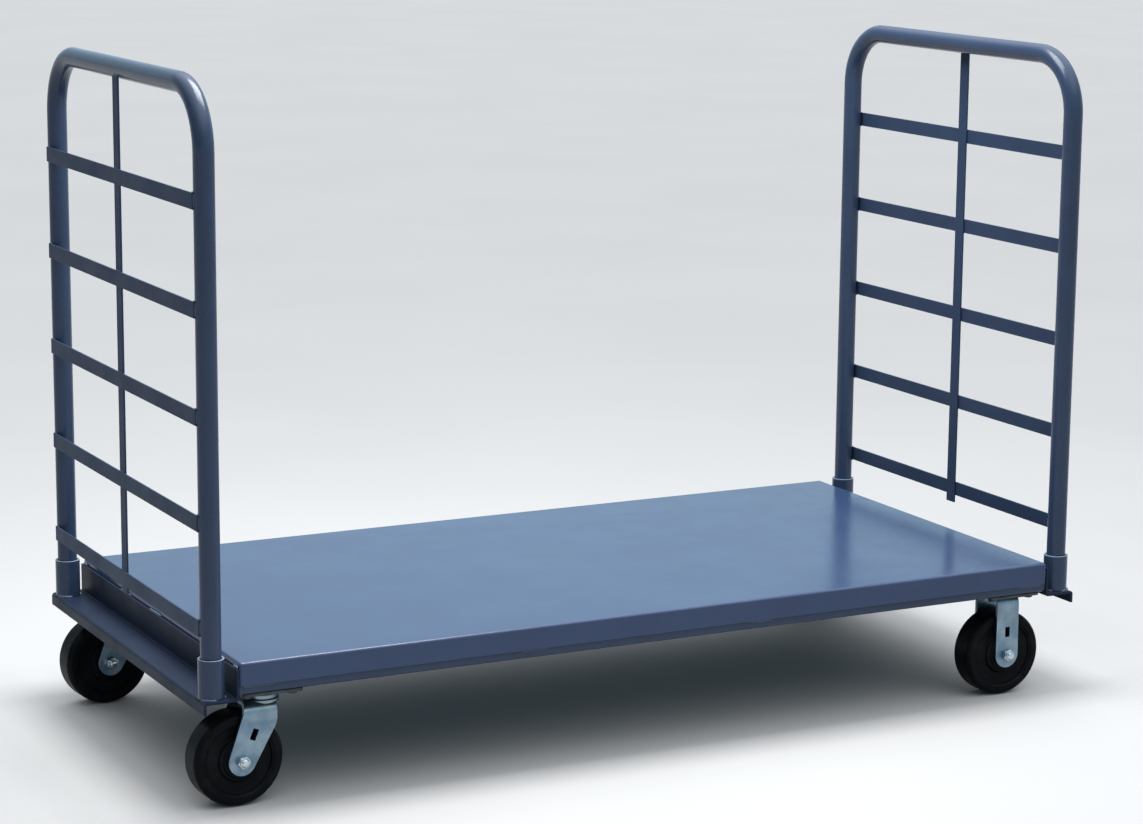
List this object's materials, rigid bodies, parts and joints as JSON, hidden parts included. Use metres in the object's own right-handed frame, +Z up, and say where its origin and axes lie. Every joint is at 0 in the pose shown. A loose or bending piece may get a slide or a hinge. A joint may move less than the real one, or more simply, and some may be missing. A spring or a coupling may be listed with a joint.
{
  "type": "flatbed platform truck",
  "caption": "Long flat steel deck on swivel and rigid casters, with a bent-tube end frame of flat cross slats standing in pipe sockets at each end.",
  "frame": {"origin": "on the floor under the middle of the truck's outline", "axes": "+X along the deck from the swivel casters to the rigid casters, +Y across the deck, +Z up"},
  "size_m": [1.6498, 0.762, 1.1507],
  "materials": {
    "deck_paint": "semi-gloss blue-grey enamel on the sheet deck, lightly scuffed",
    "frame_paint": "semi-gloss blue-grey enamel on welded steel, slightly uneven",
    "zinc_plate": "bright zinc plate, cloudy, with a faint blue and straw tint",
    "wheel_rubber": "satin black moulded rubber with fine turning rings",
    "bearing_steel": "bare ground steel, oiled"
  },
  "bodies": {
    "truck_frame": {"deck_sheet": "deck_paint", "side_rail_front": "frame_paint", "side_rail_back": "frame_paint", "cross_member_left": "frame_paint", "cross_member_centre": "frame_paint", "cross_member_right": "frame_paint", "end_bolster_left": "frame_paint", "end_bolster_right": "frame_paint", "socket_left_front": "frame_paint", "socket_left_back": "frame_paint", "socket_right_front": "frame_paint", "socket_right_back": "frame_paint", "swivel_top_plate_front": "zinc_plate", "ball_race_front": "zinc_plate", "kingpin_front": "zinc_plate", "kingpin_nut_front": "zinc_plate", "rigid_fork_front": "zinc_plate", "rigid_axle_sleeve_front": "zinc_plate", "rigid_axle_bolt_front": "zinc_plate", "rigid_axle_nut_front": "zinc_plate", "swivel_top_plate_back": "zinc_plate", "ball_race_back": "zinc_plate", "kingpin_back": "zinc_plate", "kingpin_nut_back": "zinc_plate", "rigid_fork_back": "zinc_plate", "rigid_axle_sleeve_back": "zinc_plate", "rigid_axle_bolt_back": "zinc_plate", "rigid_axle_nut_back": "zinc_plate"},
    "left_end_frame": {"handle_tube_left": "frame_paint", "slat_left_1": "frame_paint", "slat_left_2": "frame_paint", "slat_left_3": "frame_paint", "slat_left_4": "frame_paint", "slat_left_5": "frame_paint", "upright_bar_left": "frame_paint"},
    "right_end_frame": {"handle_tube_right": "frame_paint", "slat_right_1": "frame_paint", "slat_right_2": "frame_paint", "slat_right_3": "frame_paint", "slat_right_4": "frame_paint", "slat_right_5": "frame_paint", "upright_bar_right": "frame_paint"},
    "swivel_front": {"swivel_fork_front": "zinc_plate", "swivel_axle_sleeve_front": "zinc_plate", "swivel_axle_bolt_front": "zinc_plate", "swivel_axle_nut_front": "zinc_plate"},
    "wheel_left_front": {"swivel_wheel_front": "wheel_rubber", "swivel_wheel_bearing_front": "bearing_steel"},
    "wheel_right_front": {"rigid_wheel_front": "wheel_rubber", "rigid_wheel_bearing_front": "bearing_steel"},
    "swivel_back": {"swivel_fork_back": "zinc_plate", "swivel_axle_sleeve_back": "zinc_plate", "swivel_axle_bolt_back": "zinc_plate", "swivel_axle_nut_back": "zinc_plate"},
    "wheel_left_back": {"swivel_wheel_back": "wheel_rubber", "swivel_wheel_bearing_back": "bearing_steel"},
    "wheel_right_back": {"rigid_wheel_back": "wheel_rubber", "rigid_wheel_bearing_back": "bearing_steel"}
  },
  "joints": [
    {"name": "left_end_frame_lift", "type": "slide", "parent": "truck_frame", "child": "left_end_frame", "axis": [0, 0, 1], "range_m": [0, 0.06]},
    {"name": "right_end_frame_lift", "type": "slide", "parent": "truck_frame", "child": "right_end_frame", "axis": [0, 0, 1], "range_m": [0, 0.06]},
    {"name": "swivel_front_turn", "type": "hinge", "parent": "truck_frame", "child": "swivel_front", "pos_m": [-0.703, -0.318, 0.17], "axis": [0, 0, 1], "continuous": true},
    {"name": "wheel_left_front_roll", "type": "hinge", "parent": "swivel_front", "child": "wheel_left_front", "pos_m": [-0.75053, -0.32049, 0.0762], "axis": [-0.0523, 0.9986, 0], "continuous": true},
    {"name": "wheel_right_front_roll", "type": "hinge", "parent": "truck_frame", "child": "wheel_right_front", "pos_m": [0.703, -0.318, 0.0762], "axis": [0, 1, 0], "continuous": true},
    {"name": "swivel_back_turn", "type": "hinge", "parent": "truck_frame", "child": "swivel_back", "pos_m": [-0.703, 0.318, 0.17], "axis": [0, 0, 1], "continuous": true},
    {"name": "wheel_left_back_roll", "type": "hinge", "parent": "swivel_back", "child": "wheel_left_back", "pos_m": [-0.75048, 0.31468, 0.0762], "axis": [-0.0698, 0.9976, 0], "continuous": true},
    {"name": "wheel_right_back_roll", "type": "hinge", "parent": "truck_frame", "child": "wheel_right_back", "pos_m": [0.703, 0.318, 0.0762], "axis": [0, 1, 0], "continuous": true}
  ]
}
